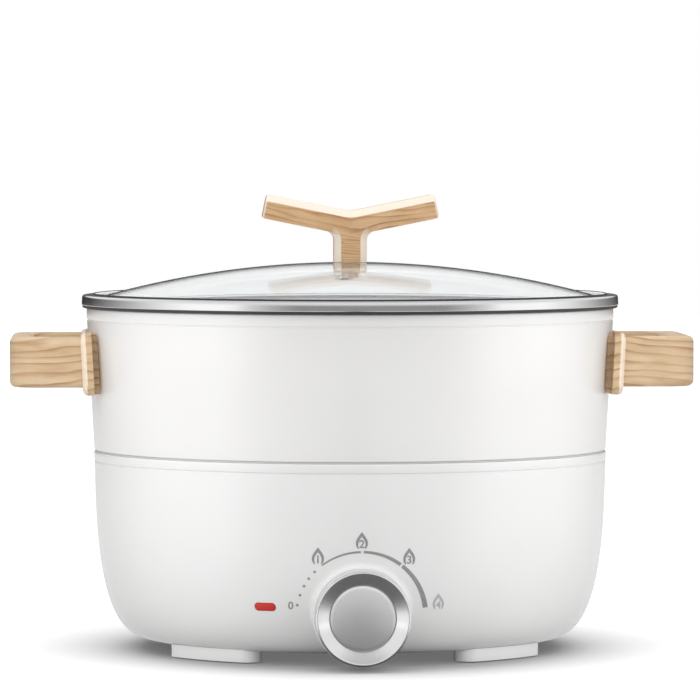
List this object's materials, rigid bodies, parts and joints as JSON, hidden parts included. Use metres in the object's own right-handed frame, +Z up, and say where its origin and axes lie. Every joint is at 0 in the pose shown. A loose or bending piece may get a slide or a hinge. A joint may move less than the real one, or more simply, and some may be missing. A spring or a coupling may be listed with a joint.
{
  "type": "electric hot pot",
  "caption": "Round electric hot pot: a coated pot with loop handles and a domed glass lid lifts out of a heated base with feet, a rotary dial and a pilot lamp.",
  "frame": {"origin": "on the counter, under the vertical axis of the pot", "axes": "+Z up along the axis of the pot, -Y towards the dial, +X towards the right-hand loop handle"},
  "size_m": [0.3792, 0.3105, 0.254],
  "materials": {
    "shell_white": "polished moulding",
    "pad_rubber": "matt",
    "fixing_steel": "plain",
    "liner_steel": "drawn sheet",
    "plate_alloy": "turned face",
    "element_sheath": "oxidised",
    "black_resin": "moulded",
    "knob_metal": "satin, spun",
    "lamp_red": "clear tinted",
    "lamp_glass": "clear",
    "lead_brown": "silicone sleeve",
    "lead_black": "silicone sleeve",
    "lead_blue": "silicone sleeve",
    "lead_green": "silicone sleeve",
    "pot_coating": "gloss white coating outside, pale grey coating inside",
    "wood_resin": "wood-grain finish, satin",
    "rim_steel": "polished",
    "lid_glass": "clear tempered",
    "seal_silicone": "translucent white"
  },
  "bodies": {
    "base": {"base_shell": "shell_white", "bottom_cover": "shell_white", "bottom_screws": "fixing_steel", "foot_front_right": "shell_white", "foot_front_left": "shell_white", "foot_rear_right": "shell_white", "foot_rear_left": "shell_white", "foot_pads": "pad_rubber", "foot_screws": "fixing_steel", "inner_liner": "liner_steel", "liner_pillars": "black_resin", "liner_screws": "fixing_steel", "heat_pan": "liner_steel", "pan_rivets": "fixing_steel", "heating_plate": "plate_alloy", "heating_element": "element_sheath", "element_pins": "fixing_steel", "plate_posts": "fixing_steel", "plate_screws": "fixing_steel", "limit_thermostat": "black_resin", "thermostat_screws": "fixing_steel", "rotary_switch": "black_resin", "switch_nut": "fixing_steel", "lamp_lens": "lamp_red", "lamp_holder": "shell_white", "pilot_lamp": "lamp_glass", "power_inlet": "black_resin", "inlet_pins": "fixing_steel", "inlet_screws": "fixing_steel", "lead_live": "lead_brown", "lead_switched": "lead_black", "lead_neutral": "lead_blue", "lead_return": "lead_blue", "lead_earth": "lead_green"},
    "knob": {"switch_shaft": "fixing_steel", "knob_core": "black_resin", "knob_ring": "knob_metal", "knob_cap": "knob_metal"},
    "pot": {"pot_body": "pot_coating", "handle_right": "wood_resin", "handle_left": "wood_resin", "handle_nuts": "fixing_steel"},
    "lid": {"lid_rim": "rim_steel", "rim_seal": "seal_silicone", "lid_glass": "lid_glass", "steam_vent": "rim_steel", "lid_handle": "wood_resin", "stem_seal": "seal_silicone", "lid_seal": "seal_silicone", "lid_washer": "fixing_steel", "lid_screw": "fixing_steel"}
  },
  "joints": [
    {"name": "pot_lift", "type": "slide", "parent": "base", "child": "pot", "axis": [0, 0, 1], "range_m": [0, 0.16]},
    {"name": "lid_lift", "type": "slide", "parent": "pot", "child": "lid", "axis": [0, 0, 1], "range_m": [0, 0.12]},
    {"name": "dial_turn", "type": "hinge", "parent": "base", "child": "knob", "pos_m": [0, -0.1425, 0.0288], "axis": [0, 1, 0], "range_deg": [0, 160]}
  ]
}
